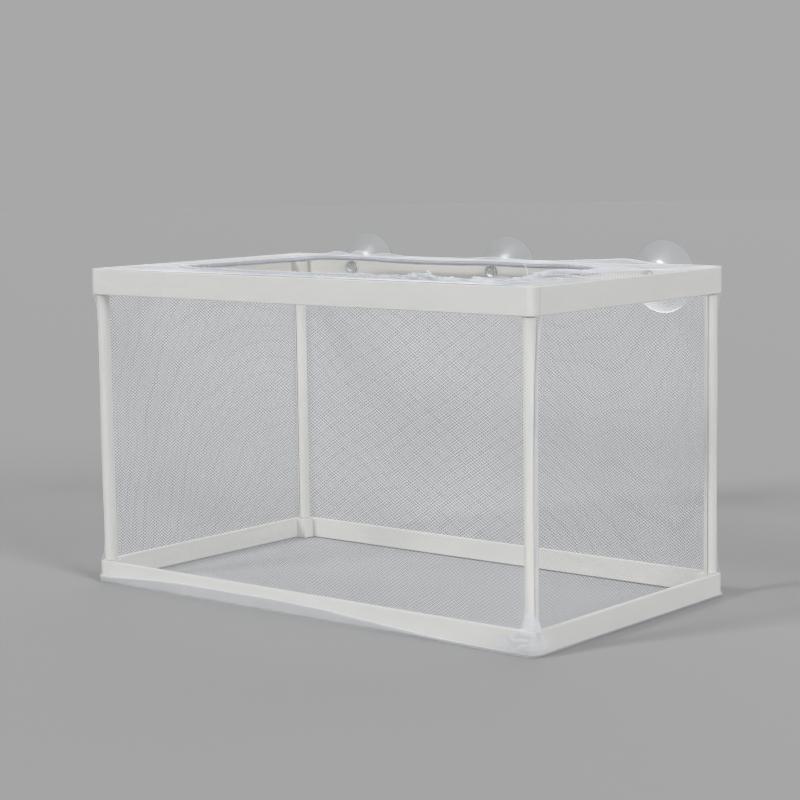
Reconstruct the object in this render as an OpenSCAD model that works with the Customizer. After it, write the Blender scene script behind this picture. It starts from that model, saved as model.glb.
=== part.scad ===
// Fish breeding box: a knock-down plastic frame inside a sewn net bag, hung on
// the tank wall by three suction cups.
// X runs along the long side, Y from the open room side to the tank wall, Z up.
// The origin is the middle of the net floor's underside. Millimetres.

/* [Frame] */
// Outer length of the plastic frame
frame_l = 260.8; // [180:0.2:330]
// Outer width of the plastic frame
frame_w = 148.8; // [110:0.2:190]
// Outer height of the plastic frame
frame_h = 151.8; // [100:0.2:200]
// Height of the four top rail strips
rail_h = 12; // [10:0.5:18]
// Height of the four bottom rail strips
bottom_rail_h = 10.2; // [10:0.1:18]
// Thickness of the flat rail strips
rail_t = 2.4; // [2:0.1:4]
// Chamfer along the rails' edges
rail_edge = 0.4; // [0.1:0.1:0.8]

/* [Corner blocks] */
// Side of the square corner block
block_w = 8.4; // [7.8:0.1:14]
// Rounding of the block's outer corner
block_round = 3.2; // [1:0.1:3.8]
// Chamfer along the block's outer edges
block_edge = 0.4; // [0.1:0.1:0.8]
// Thickness of the tongue that a rail slides onto
tongue_t = 1.0; // [0.6:0.1:1.2]
// Height of the tongue
tongue_h = 7; // [4:0.5:8]
// Length of the tongue beyond the block
tongue_l = 8; // [5:0.5:15]
// Clearance between a tongue and its slot, on each side
tongue_gap = 0.06; // [0.02:0.01:0.15]

/* [Corner posts] */
// Diameter of the post
post_d = 6; // [5.4:0.1:7]
// Chamfer at each end of the post's thick part
post_edge = 0.4; // [0.1:0.1:0.8]
// Diameter of the spigot at each end of the post
spigot_d = 5; // [3.5:0.1:5.2]
// Length of the spigot
spigot_l = 8; // [5:0.5:9.5]
// Radial clearance between a spigot and its socket
spigot_gap = 0.05; // [0.02:0.01:0.1]
// Width of the groove along the post
groove_w = 1.0; // [0.6:0.1:1.6]
// Depth of the groove along the post
groove_d = 0.6; // [0.3:0.1:1]

/* [Net bag] */
// Thickness of the net
net_t = 0.4; // [0.3:0.1:0.8]
// Gap between the net and the frame
net_gap = 0.2; // [0.1:0.05:0.4]
// Length of the mouth, inside its elastic
mouth_l = 202; // [120:1:230]
// Width of the mouth, inside its elastic
mouth_w = 116; // [70:1:120]
// How far the mouth lies off the middle, along the length
mouth_shift = -8; // [-14:1:14]
// Squareness of the mouth: 2 is an ellipse
mouth_power = 4; // [2:0.1:6]
// Diameter of the elastic cord in the hem
elastic_d = 2.4; // [1.5:0.1:4]
// Width of the sewn corner seam
seam_w = 2.2; // [1.5:0.1:4]
// How far the seams stand out of the net
seam_t = 0.5; // [0.3:0.1:1]
// Height of the seam round the floor
floor_seam_h = 1.4; // [0.8:0.1:2.5]

/* [Suction cups] */
// Diameter of the cup's lip
cup_d = 35; // [22:0.5:50]
// Depth of the cup from its boss to its lip
cup_depth = 7.9; // [4:0.1:12]
// Distance between neighbouring cups
cup_spacing = 91; // [55:1:120]
// Diameter of the boss behind the cup
boss_d = 10; // [8:0.5:12]
// Length of the boss
boss_l = 2.6; // [1.5:0.1:5]
// Diameter of the neck that goes through the rail
neck_d = 4; // [3:0.1:5]
// Diameter of the mushroom head inside the rail
head_d = 7.2; // [6.4:0.1:9]
// Length of the mushroom head
head_l = 2.8; // [1.5:0.1:4]
// Width of the flat sealing lip
lip_w = 0.9; // [0.5:0.1:2]
// Radial clearance between the neck and its hole
neck_gap = 0.08; // [0.02:0.01:0.1]
// Gap between the cup and what it is held by, along its axis
cup_end_gap = 0.3; // [0.1:0.05:0.5]

/* [Hidden] */
$fn = 64;
cut = 0.5;              // how far a cutting shape runs past a face
slot_end = 0.4;         // room past the tip of a tongue or spigot
tip_taper = 0.5;        // chamfer at the tip of a tongue or spigot
net_hole_gap = 1;       // radial room round the neck where it passes the net
groove_turn = 10;       // angle of a post's groove off the frame's width
elastic_gap = 0.2;      // gap between the elastic cord and the collar's edge
cup_wall = 1.2;         // wall of the cup at its middle
flare = 1.7;            // how late the cup's wall turns towards its lip
dish = 2;               // the same for the inside of the cup
curve_steps = 12;       // straight steps in a cup's curve
mouth_steps = 72;       // steps round the mouth
cord_sides = 8;         // sides of the elastic cord

frame_z = net_t + net_gap;                     // underside of the frame
frame_top = frame_z + frame_h;
post_inset = block_w / 2;                      // post axis from the outer faces
bag_l = frame_l + 2 * (net_gap + net_t);       // outer size of the net bag
bag_w = frame_w + 2 * (net_gap + net_t);
bag_h = frame_top + net_gap + net_t;
bag_round = block_round + net_gap + net_t;
cup_z = frame_top - rail_h / 2;                // axis of the cups
cup_axes = [for (i = [-1:1]) i * cup_spacing];
boss_start = net_gap + net_t + cup_end_gap;    // from the rail's outer face
boss_end = boss_start + boss_l;
lip_end = boss_end + cup_depth;
head_start = -rail_t - cup_end_gap;

// Each corner: side along X, side along Y, turn of a block made for front left.
FRONT_LEFT = [-1, -1, 0];
FRONT_RIGHT = [1, -1, 90];
BACK_RIGHT = [1, 1, 180];
BACK_LEFT = [-1, 1, 270];

// ---- Rails: flat strips with a slot in each end ----

// Section of a rail this high: outer face on x = 0, underside on y = 0.
module rail_section(high) {
  e = rail_edge;
  polygon([
    [e, 0], [rail_t - e, 0], [rail_t, e], [rail_t, high - e],
    [rail_t - e, high], [e, high], [0, high - e], [0, e]
  ]);
}

// A rail of this length along X and this height, its outer face on y = 0.
module rail(length, high) {
  slot = [
    tongue_l + slot_end + cut,
    tongue_t + 2 * tongue_gap,
    tongue_h + 2 * tongue_gap
  ];
  slot_x = length / 2 + cut - slot.x / 2;
  difference() {
    translate([-length / 2, 0, 0])
      rotate([90, 0, 90]) linear_extrude(length) rail_section(high);
    for (x = [-slot_x, slot_x])
      translate([x, rail_t / 2, high / 2]) cube(slot, center = true);
  }
}

// A rail along the long side, in front (side -1) or behind (side 1).
module long_rail(side, z, high) {
  color("white")
    translate([0, side * frame_w / 2, z])
      rotate([0, 0, side < 0 ? 0 : 180]) rail(frame_l - 2 * block_w, high);
}

// A rail along the short side, left (side -1) or right (side 1).
module short_rail(side, z, high) {
  color("white")
    translate([side * frame_l / 2, 0, z])
      rotate([0, 0, side < 0 ? -90 : 90]) rail(frame_w - 2 * block_w, high);
}

// ---- Corner blocks: two tongues and a socket each ----

// Upright section of a block of this width and height, chamfered on the side
// away from x = 0.
module block_section(width, high) {
  e = block_edge;
  polygon([
    [0, 0], [width - e, 0], [width, e],
    [width, high - e], [width - e, high], [0, high]
  ]);
}

// The block's side along +x, its chamfered face on y = 0.
module block_side(high) {
  translate([block_round, block_w, 0])
    rotate([90, 0, 90]) mirror([1, 0, 0])
      linear_extrude(block_w - block_round) block_section(block_w, high);
}

// Outside of a block: outer corner at the origin, the block towards +x and +y.
module block_body(high) {
  translate([block_round, block_round, 0])
    rotate_extrude() block_section(block_round, high);
  block_side(high);
  translate([0, 0, high]) rotate([0, 0, 90]) rotate([180, 0, 0]) block_side(high);
}

// A tongue along +x, half way up a block this high, whose root is buried in the
// block's face at x = 0.
module tongue(high) {
  t = tongue_t / 2;
  y = rail_t / 2;
  translate([0, 0, (high - tongue_h) / 2]) linear_extrude(tongue_h)
    polygon([
      [-cut, y - t], [tongue_l - tip_taper, y - t], [tongue_l, y - t / 2],
      [tongue_l, y + t / 2], [tongue_l - tip_taper, y + t], [-cut, y + t]
    ]);
}

// A front left block this high, standing on z = 0, its socket upwards.
module corner_block(high) {
  difference() {
    block_body(high);
    translate([post_inset, post_inset, high - spigot_l - slot_end])
      cylinder(d = spigot_d + 2 * spigot_gap, h = spigot_l + slot_end + cut);
  }
  translate([block_w, 0, 0]) tongue(high);
  translate([0, block_w, 0]) rotate([0, 0, 90]) mirror([0, 1, 0]) tongue(high);
}

module bottom_corner(corner) {
  color("white")
    translate([corner[0] * frame_l / 2, corner[1] * frame_w / 2, frame_z])
      rotate([0, 0, corner[2]]) corner_block(bottom_rail_h);
}

// A block upside down: it is alike on both sides of its diagonal.
module top_corner(corner) {
  color("white")
    translate([corner[0] * frame_l / 2, corner[1] * frame_w / 2, frame_top])
      rotate([0, 0, corner[2] + 90]) rotate([180, 0, 0]) corner_block(rail_h);
}

// ---- Posts: round bars with a spigot at each end ----

module spigot() {
  straight = spigot_l - tip_taper;
  cylinder(d = spigot_d, h = straight);
  translate([0, 0, straight])
    cylinder(d1 = spigot_d, d2 = spigot_d - 2 * tip_taper, h = tip_taper);
}

// The thick part of a post, chamfered where it meets the blocks.
module post_shaft(length) {
  r = post_d / 2;
  e = post_edge;
  rotate_extrude() polygon([
    [0, 0], [r - e, 0], [r, e], [r, length - e], [r - e, length], [0, length]
  ]);
}

module post(corner) {
  shaft = frame_h - rail_h - bottom_rail_h;
  turn = corner[0] * corner[1] * groove_turn + (corner[1] < 0 ? 0 : 180);
  color("white")
    translate([
      corner[0] * (frame_l / 2 - post_inset),
      corner[1] * (frame_w / 2 - post_inset),
      frame_z + bottom_rail_h
    ]) {
      difference() {
        post_shaft(shaft);
        rotate([0, 0, turn])
          translate([-groove_w / 2, post_d / 2 - groove_d, -cut])
            cube([groove_w, groove_d + cut, shaft + 2 * cut]);
      }
      translate([0, 0, shaft]) spigot();
      rotate([180, 0, 0]) spigot();
    }
}

// ---- Net bag: walls, floor and the collar that turns in over the top ----

module rounded_plan(length, width, round) {
  square([length - 2 * round, width], center = true);
  square([length, width - 2 * round], center = true);
  for (x = [-1, 1], y = [-1, 1])
    translate([x * (length / 2 - round), y * (width / 2 - round)])
      circle(r = round);
}

// The bag's plan, this far inside its outer face.
module bag_plan(inside = 0) {
  rounded_plan(bag_l - 2 * inside, bag_w - 2 * inside, bag_round - inside);
}

// The part of the plan that belongs to a long wall (side -1 front, 1 back).
module long_wall_share(side) {
  x = bag_l / 2 + cut;
  y = side * (bag_w / 2 + cut);
  ridge = (bag_l - bag_w) / 2;
  polygon([[-x, y], [x, y], [ridge, 0], [-ridge, 0]]);
}

// The part of the plan that belongs to a short wall (side -1 left, 1 right).
module short_wall_share(side) {
  x = side * (bag_l / 2 + cut);
  y = bag_w / 2 + cut;
  polygon([[x, -y], [x, y], [side * (bag_l - bag_w) / 2, 0]]);
}

// One wall of the bag: its children say which share of the plan.
module net_wall() {
  color("whitesmoke")
    linear_extrude(bag_h)
      intersection() {
        difference() {
          bag_plan();
          bag_plan(net_t);
        }
        children();
      }
}

// A point of the mouth's edge at this angle, this far outside the elastic's axis.
function power_of(v) = sign(v) * pow(abs(v), 2 / mouth_power);
function mouth_point(angle, out = 0) = [
  mouth_shift + (mouth_l / 2 + out) * power_of(cos(angle)),
  (mouth_w / 2 + out) * power_of(sin(angle))
];

module mouth_plan(out) {
  polygon([for (i = [0:mouth_steps - 1]) mouth_point(i * 360 / mouth_steps, out)]);
}

module net_floor() {
  color("whitesmoke") linear_extrude(net_t) bag_plan(net_t);
}

module net_collar() {
  color("whitesmoke")
    translate([0, 0, bag_h - net_t]) linear_extrude(net_t)
      difference() {
        bag_plan(net_t);
        mouth_plan(elastic_d / 2 + elastic_gap);
      }
}

// A closed cord round the mouth.
module elastic_cord() {
  z = bag_h - net_t / 2;
  points = [
    for (i = [0:mouth_steps - 1], j = [0:cord_sides - 1])
      let (
        side = j * 360 / cord_sides,
        flat = mouth_point(i * 360 / mouth_steps, elastic_d / 2 * cos(side))
      )
      [flat.x, flat.y, z + elastic_d / 2 * sin(side)]
  ];
  faces = [
    for (i = [0:mouth_steps - 1], j = [0:cord_sides - 1])
      let (
        next_i = (i + 1) % mouth_steps,
        next_j = (j + 1) % cord_sides
      )
      [
        i * cord_sides + j,
        i * cord_sides + next_j,
        next_i * cord_sides + next_j,
        next_i * cord_sides + j
      ]
  ];
  color("white") polyhedron(points, faces);
}

// The upright seam that closes the wall strip, beside the front right corner.
module corner_seam() {
  color("white")
    translate([bag_l / 2, -bag_w / 2 + bag_round, floor_seam_h])
      cube([seam_t, seam_w, bag_h - 2 * floor_seam_h]);
}

// The seam that joins the floor to the walls.
module floor_seam() {
  color("white")
    linear_extrude(floor_seam_h)
      difference() {
        bag_plan(-seam_t);
        bag_plan();
      }
}

// ---- Suction cups: one moulded piece, from mushroom head to lip ----

// Half section: x is the radius, y the distance out of the rail's outer face.
module cup_section() {
  lip_r = cup_d / 2;
  dish_r = lip_r - lip_w;
  dish_y = boss_end + cup_wall;
  polygon([
    for (i = [0:curve_steps]) let (a = 90 * i / curve_steps)
      [head_d / 2 * sin(a), head_start - head_l * cos(a)],
    [neck_d / 2, head_start],
    [neck_d / 2, boss_start],
    [boss_d / 2, boss_start],
    for (i = [0:curve_steps]) let (s = i / curve_steps)
      [boss_d / 2 + (lip_r - boss_d / 2) * s, boss_end + cup_depth * pow(s, flare)],
    for (i = [curve_steps:-1:0]) let (s = i / curve_steps)
      [dish_r * s, dish_y + (lip_end - dish_y) * pow(s, dish)]
  ]);
}

module suction_cup(x) {
  color("gainsboro", 0.5)
    translate([x, frame_w / 2, cup_z]) rotate([-90, 0, 0])
      rotate_extrude() cup_section();
}

// ---- Sub-parts ----

// A hole through the back of the frame and net for each cup's neck.
module neck_holes(radius) {
  for (x = cup_axes)
    translate([x, frame_w / 2 - rail_t - cut, cup_z]) rotate([-90, 0, 0])
      cylinder(r = radius, h = rail_t + net_gap + net_t + 2 * cut);
}

module top_rail_front() long_rail(-1, frame_top - rail_h, rail_h);
module top_rail_back() {
  difference() {
    long_rail(1, frame_top - rail_h, rail_h);
    neck_holes(neck_d / 2 + neck_gap);
  }
}
module top_rail_left() short_rail(-1, frame_top - rail_h, rail_h);
module top_rail_right() short_rail(1, frame_top - rail_h, rail_h);
module bottom_rail_front() long_rail(-1, frame_z, bottom_rail_h);
module bottom_rail_back() long_rail(1, frame_z, bottom_rail_h);
module bottom_rail_left() short_rail(-1, frame_z, bottom_rail_h);
module bottom_rail_right() short_rail(1, frame_z, bottom_rail_h);

module top_corner_front_left() top_corner(FRONT_LEFT);
module top_corner_front_right() top_corner(FRONT_RIGHT);
module top_corner_back_left() top_corner(BACK_LEFT);
module top_corner_back_right() top_corner(BACK_RIGHT);
module bottom_corner_front_left() bottom_corner(FRONT_LEFT);
module bottom_corner_front_right() bottom_corner(FRONT_RIGHT);
module bottom_corner_back_left() bottom_corner(BACK_LEFT);
module bottom_corner_back_right() bottom_corner(BACK_RIGHT);

module post_front_left() post(FRONT_LEFT);
module post_front_right() post(FRONT_RIGHT);
module post_back_left() post(BACK_LEFT);
module post_back_right() post(BACK_RIGHT);

module net_wall_front() net_wall() long_wall_share(-1);
module net_wall_back() {
  difference() {
    net_wall() long_wall_share(1);
    neck_holes(neck_d / 2 + net_hole_gap);
  }
}
module net_wall_left() net_wall() short_wall_share(-1);
module net_wall_right() net_wall() short_wall_share(1);

module suction_cup_left() suction_cup(cup_axes[0]);
module suction_cup_middle() suction_cup(cup_axes[1]);
module suction_cup_right() suction_cup(cup_axes[2]);

top_rail_front();
top_rail_back();
top_rail_left();
top_rail_right();
bottom_rail_front();
bottom_rail_back();
bottom_rail_left();
bottom_rail_right();
top_corner_front_left();
top_corner_front_right();
top_corner_back_left();
top_corner_back_right();
bottom_corner_front_left();
bottom_corner_front_right();
bottom_corner_back_left();
bottom_corner_back_right();
post_front_left();
post_front_right();
post_back_left();
post_back_right();
net_wall_front();
net_wall_back();
net_wall_left();
net_wall_right();
net_floor();
net_collar();
elastic_cord();
corner_seam();
floor_seam();
suction_cup_left();
suction_cup_middle();
suction_cup_right();
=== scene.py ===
# %% [markdown]
# # A net breeding box for small fish
# A breeding box hangs inside an aquarium and keeps newborn fish apart from the
# others. It is a knock-down frame of white plastic strips and rods, inside a
# sewn bag of fine net. The top of the bag turns in over the frame and is
# gathered by an elastic, and three clear suction cups hold the box to the glass.
#
# The rigid parts come ready made. This lesson gives them their finish, and
# makes the net, its seams and its gathered mouth, because those are what the
# eye sees first. Everything is in metres.

# %% Load the ready made parts
import bisect
import math

import bmesh
import bpy
from mathutils import Matrix, Vector, noise


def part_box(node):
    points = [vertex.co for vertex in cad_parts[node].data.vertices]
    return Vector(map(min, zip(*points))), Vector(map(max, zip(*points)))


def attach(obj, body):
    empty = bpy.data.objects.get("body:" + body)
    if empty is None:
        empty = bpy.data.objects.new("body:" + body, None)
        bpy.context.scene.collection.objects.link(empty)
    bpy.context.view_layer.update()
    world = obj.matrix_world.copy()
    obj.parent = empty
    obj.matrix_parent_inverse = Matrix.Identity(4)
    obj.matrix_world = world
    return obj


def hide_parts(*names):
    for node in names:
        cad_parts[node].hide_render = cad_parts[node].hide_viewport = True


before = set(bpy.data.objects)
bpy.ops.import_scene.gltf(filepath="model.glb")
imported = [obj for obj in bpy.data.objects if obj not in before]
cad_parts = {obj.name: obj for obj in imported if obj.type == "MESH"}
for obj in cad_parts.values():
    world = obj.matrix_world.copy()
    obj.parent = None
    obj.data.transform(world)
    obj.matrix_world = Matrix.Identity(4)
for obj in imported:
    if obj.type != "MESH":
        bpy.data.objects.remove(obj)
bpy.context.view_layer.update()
MM = 0.001

# %% [markdown]
# ## The camera
# The box is looked at from the front right, a little above its rim. The camera
# stands about a metre away behind a long lens, so the edges converge only a
# little. Its turn is given as three angles: round the upright, down towards
# the table, and a slight roll. The net's threads are thinner than a pixel, so
# the filter that blends pixels is a little narrower than usual, to keep them
# crisp.

# %% Place the camera
CAMERA_PLACE = Vector((0.6260, -0.7593, 0.2122))
CAMERA_TURN = math.radians(39.52)
CAMERA_DOWN = math.radians(7.06)
CAMERA_ROLL = math.radians(-0.84)
IMAGE_PIXELS = 800
FOCAL_PIXELS = 2106.9
PIXEL_FILTER = 1.0
SENSOR_WIDTH = 36
CAMERA_REACH = 20

camera = bpy.data.objects.new("camera", bpy.data.cameras.new("camera"))
bpy.context.scene.collection.objects.link(camera)
bpy.context.scene.camera = camera
camera.data.sensor_width = SENSOR_WIDTH
camera.data.lens = FOCAL_PIXELS / IMAGE_PIXELS * SENSOR_WIDTH
camera.data.clip_end = CAMERA_REACH
bpy.context.scene.cycles.filter_width = PIXEL_FILTER
camera.matrix_world = (
    Matrix.Translation(CAMERA_PLACE)
    @ Matrix.Rotation(CAMERA_TURN, 4, "Z")
    @ Matrix.Rotation(math.pi / 2 - CAMERA_DOWN, 4, "X")
    @ Matrix.Rotation(CAMERA_ROLL, 4, "Z")
)
print("lens:", round(camera.data.lens, 1), "mm")

# %% [markdown]
# ## Sizes
# Every size of the bag is read from the parts that it has to fit, so the net
# stays where the frame is. Only the roundings can't be read from a box, and
# they are named here.

# %% Read the sizes of the bag and its mouth
BAG_ROUND = 3.8 * MM
MOUTH_POWER = 4
WALL_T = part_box("net_floor")[1].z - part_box("net_floor")[0].z
HALF_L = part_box("net_wall_right")[1].x - WALL_T / 2
HALF_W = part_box("net_wall_back")[1].y - WALL_T / 2
ROUND = BAG_ROUND - WALL_T / 2
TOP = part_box("net_wall_front")[1].z - WALL_T / 2
RIM_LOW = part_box("top_rail_front")[0].z
FLOOR_RIM_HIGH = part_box("bottom_rail_front")[1].z
cord_low, cord_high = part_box("elastic_cord")
ELASTIC_R = (cord_high.z - cord_low.z) / 2
MOUTH = (cord_low + cord_high) / 2
MOUTH_HALF_L = (cord_high.x - cord_low.x) / 2 - ELASTIC_R
MOUTH_HALF_W = (cord_high.y - cord_low.y) / 2 - ELASTIC_R
print("bag:", [round(2 * v / MM, 1) for v in (HALF_L, HALF_W)], "mm, top at", round(TOP / MM, 1))

# %% [markdown]
# ## Walking round the bag
# The wall of the bag is one strip of net, so the natural way to place anything
# on it is by two numbers: how far round the bag, and how high. This helper
# walks the rounded outline from the middle of the front towards the right. It
# gives the point after that many metres and the direction that faces out.

# %% Make the walk round the outline
STRAIGHT_X = HALF_L - ROUND
STRAIGHT_Y = HALF_W - ROUND
ARC = math.pi / 2 * ROUND
PERIMETER = 4 * (STRAIGHT_X + STRAIGHT_Y + ARC)
CORNER_FRONT_RIGHT = STRAIGHT_X + ARC / 2
HALF_TURN = PERIMETER / 2
CORNERS = [
    CORNER_FRONT_RIGHT,
    HALF_TURN - CORNER_FRONT_RIGHT,
    HALF_TURN + CORNER_FRONT_RIGHT,
    PERIMETER - CORNER_FRONT_RIGHT,
]


def outline(around):
    left = around % PERIMETER
    place = Vector((0, -HALF_W))
    ahead = Vector((1, 0))
    for straight in (STRAIGHT_X, 2 * STRAIGHT_Y, 2 * STRAIGHT_X, 2 * STRAIGHT_Y, STRAIGHT_X):
        out = Vector((ahead.y, -ahead.x))
        if left <= straight:
            return place + ahead * left, out
        left -= straight
        centre = place + ahead * straight - out * ROUND
        if left <= ARC:
            out.rotate(Matrix.Rotation(left / ROUND, 2))
            return centre + out * ROUND, out
        left -= ARC
        place = centre + ahead * ROUND
        ahead = -out
    return place, Vector((0, -1))


def to_nearest(around, marks):
    """Distance round the bag to the nearest mark."""
    return min(abs((around - mark + HALF_TURN) % PERIMETER - HALF_TURN) for mark in marks)


print("once round the bag:", round(PERIMETER / MM, 1), "mm")

# %% [markdown]
# ## How the net lies
# The net touches the frame at the rims, which stand out furthest, and it is
# drawn in where it is stretched over the slimmer posts. In between it is nearly
# flat, with a little slack. Three small functions give how far a point of the
# net stands out of the flat wall: drawn in at the posts, lifted by the floor
# seam that has crept up the front rim, and crumpled at the corner where the
# seams meet. A fourth one moves a point within the wall, because knitted rows
# are never quite straight.

# %% Describe how the net lies
POST_DRAW = 1.3 * MM
POST_REACH = 42 * MM
SNUG_DRAW = 0.8 * MM
SNUG_REACH = 3 * MM
RIM_EASE = 3 * MM
RIM_EASE_GROWTH = 0.6
SLACK = 0.45 * MM
SLACK_WAVE = 38 * MM
SEAM_LOW = 0.9 * MM
SEAM_RISE = 5.3 * MM
SEAM_RISE_START = -180 * MM
SEAM_RISE_LENGTH = 115 * MM
SEAM_FALL_END = 112 * MM
SEAM_FALL_LENGTH = 125 * MM
SEAM_WOBBLE = 0.3 * MM
SEAM_WAVE = 7 * MM
SEAM_LIFT = 1.3 * MM
SEAM_LIFT_FROM = 3 * MM
SEAM_SPREAD = 2.6 * MM
CORNER_HOLD = 0.9
CORNER_HOLD_REACH = 4 * MM
CRUMPLE = 1.3 * MM
CRUMPLE_ASIDE = 3 * MM
CRUMPLE_MIDDLE = 9 * MM
CRUMPLE_REACH = 12 * MM
CRUMPLE_HIGH = 15 * MM
CRUMPLE_FOOT = 4 * MM
CRUMPLE_RAYS = 9
CRUMPLE_WAVE = 5 * MM
WANDER = 0.75 * MM
WANDER_WAVE = 30 * MM
WANDER_EDGE = 20 * MM
WANDER_POST = 12 * MM
OTHER_NOISE = Vector((0, 0, 20))  # far enough away to be independent


def ease(value):
    """From 0 to 1 with a soft start and end."""
    value = min(1, max(0, value))
    return value * value * (3 - 2 * value)


def along_front(around):
    """The place along the front as an X, running on past its ends."""
    return (around + HALF_TURN) % PERIMETER - HALF_TURN


def seam_height(around):
    """Height of the floor seam: low all round, but risen along the front."""
    x = along_front(around)
    risen = ease((x - SEAM_RISE_START) / SEAM_RISE_LENGTH)
    risen *= ease((SEAM_FALL_END - x) / SEAM_FALL_LENGTH)
    wobble = SEAM_WOBBLE * noise.noise((around / SEAM_WAVE, 0, 7))
    return SEAM_LOW + wobble * (0.4 + risen) + SEAM_RISE * risen


def drawn_in(around, high):
    """Between the rims the net is drawn in, most of all at the posts."""
    across = to_nearest(around, CORNERS)
    gap = min(high - FLOOR_RIM_HIGH, RIM_LOW - high)
    if gap <= 0:
        return 0
    between = 1 - math.exp(-gap / (RIM_EASE + RIM_EASE_GROWTH * across))
    return between * (
        POST_DRAW * math.exp(-across / POST_REACH)
        + SNUG_DRAW * math.exp(-((across / SNUG_REACH) ** 2))
        + SLACK * noise.noise((around / SLACK_WAVE, high / SLACK_WAVE, 1))
    )


def crumpled(around, high):
    """Creases that run from the foot of the seam, across the corner."""
    aside = along_front(around) - CORNER_FRONT_RIGHT - CRUMPLE_ASIDE
    above = high - CRUMPLE_MIDDLE
    reach = math.hypot(aside / CRUMPLE_REACH, above / CRUMPLE_HIGH)
    near = math.exp(-reach * reach) * ease(1.3 - high / CRUMPLE_HIGH) * ease(high / CRUMPLE_FOOT)
    ray = math.atan2(above, aside) / math.pi
    bent = noise.noise((around / CRUMPLE_WAVE, high / CRUMPLE_WAVE, 3))
    bulge = math.sqrt(abs(math.sin(math.pi * (CRUMPLE_RAYS * ray + 1.2 * bent)))) * ease(4 * reach)
    return CRUMPLE * near * (0.2 + bulge + 0.5 * bent)


def stands_out(around, high):
    """Above the floor seam the net leans back to the rail, and below it to the floor."""
    seam = seam_height(around)
    if high > seam:
        lean = math.exp(-(((high - seam) / SEAM_SPREAD) ** 2))
    else:
        lean = high / seam
    held = CORNER_HOLD * math.exp(-((to_nearest(around, CORNERS[1:]) / CORNER_HOLD_REACH) ** 2))
    lift = SEAM_LIFT * lean * (1 - held) * ease(seam / SEAM_LIFT_FROM)
    return lift + crumpled(around, high) - drawn_in(around, high)


def wandered(around, high):
    """The knitted rows aren't quite straight: a place in the net moves a little within it."""
    (x, y), _ = outline(around)
    far = WANDER * ease(high / WANDER_EDGE) * ease((TOP - high) / WANDER_EDGE)
    spot = Vector((x, y, high)) / WANDER_WAVE
    aside = noise.noise(spot + OTHER_NOISE) * ease(to_nearest(around, CORNERS) / WANDER_POST)
    return around + far * aside, high + far * noise.noise(spot - OTHER_NOISE)


def wall_point(around, high, off=0):
    """The point of the wall this far round and this high, or a little off it."""
    place, out = outline(around)
    place += out * (stands_out(around, high) + off)
    return Vector((place.x, place.y, high))


seam_marks = [round(seam_height(x * HALF_L) / MM, 1) for x in (-1, -0.5, 0, 0.5, 0.8, 1)]
print("floor seam on the front, in mm:", seam_marks)

# %% [markdown]
# ## The mouth
# The hem at the mouth is a casing with an elastic in it. The elastic pulls
# evenly, so equal lengths of the strip end up as equal lengths of the mouth.
# The mouth is a flattened oval. It is sampled finely once, and a helper gives
# the point at any share of its length.

# %% Measure out the mouth
MOUTH_SAMPLES = 720
HEM_R = 1.25 * MM
HEM_DROP = 0.3 * MM
HEM_SAG = 1.0 * MM
HEM_SWAY = 0.35 * MM
HEM_WAVE = 22 * MM
BEHIND_START = -75 * MM
BEHIND_EASE = 30 * MM
LEFT_SAG = 1.05
LEFT_START = -92 * MM
LEFT_EASE = 14 * MM
LEFT_NEAR_EDGE = -50 * MM
LEFT_NEAR_EASE = 25 * MM
HEM_HUMPS = [  # place round the bag and rise, in mm
    (70, 0), (80, 0.2), (90, 0.5), (99, 0.7), (106, -0.7), (112, -1.2), (121, -1.8), (127, -1.7),
    (132, -1.3), (137, -1.4), (141, -2.1), (146, -2.0), (150, -1.9), (155, -2.0), (159, -1.7),
    (165, -1.6), (172, -1.2), (180, -0.3), (190, 0.2), (199, 0.2), (204, 0.1), (212, 0.6), (226, 0),
]


def flattened(value):
    """A sine or cosine for the flattened oval."""
    return math.copysign(abs(value) ** (2 / MOUTH_POWER), value)


mouth_line = []
for i in range(MOUTH_SAMPLES + 1):
    turn = i / MOUTH_SAMPLES * 2 * math.pi - math.pi / 2
    x = MOUTH.x + MOUTH_HALF_L * flattened(math.cos(turn))
    mouth_line.append(Vector((x, MOUTH_HALF_W * flattened(math.sin(turn)))))
mouth_run = [0]
for before, after in zip(mouth_line, mouth_line[1:]):
    mouth_run.append(mouth_run[-1] + (after - before).length)
MOUTH_LENGTH = mouth_run[-1]


def between_marks(value, marks):
    """Eases from one mark to the next. A mark is a value and a result."""
    for (start, low), (end, high) in zip(marks, marks[1:]):
        if start <= value <= end:
            return low + (high - low) * ease((value - start) / (end - start))
    return 0


def hem_rise(x, y, around):
    """How far the hem lies above its plain height."""
    behind = ease(y / MOUTH_HALF_W + 0.3) * ease((x - BEHIND_START) / BEHIND_EASE)
    left = LEFT_SAG * ease((LEFT_START - x) / LEFT_EASE) * ease((y - LEFT_NEAR_EDGE) / LEFT_NEAR_EASE)
    sway = HEM_SWAY * noise.noise((x / HEM_WAVE, y / HEM_WAVE, 5))
    return sway - HEM_SAG * max(behind, left) + between_marks(around / MM, HEM_HUMPS) * MM


def mouth_point(share):
    """Centre of the elastic and the direction out of the mouth, at this share of its length."""
    run = share % 1 * MOUTH_LENGTH
    high = min(bisect.bisect_right(mouth_run, run), MOUTH_SAMPLES)
    start = mouth_line[high - 1]
    step = mouth_line[high] - start
    place = start + step * ((run - mouth_run[high - 1]) / step.length)
    out = Vector((step.y, -step.x)).normalized()
    high = MOUTH.z - HEM_DROP + hem_rise(place.x, place.y, share % 1 * PERIMETER)
    return Vector((place.x, place.y, high)), Vector((out.x, out.y, 0))


print("mouth:", round(MOUTH_LENGTH / MM), "mm of elastic gathers", round(PERIMETER / MM), "mm of net")

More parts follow.
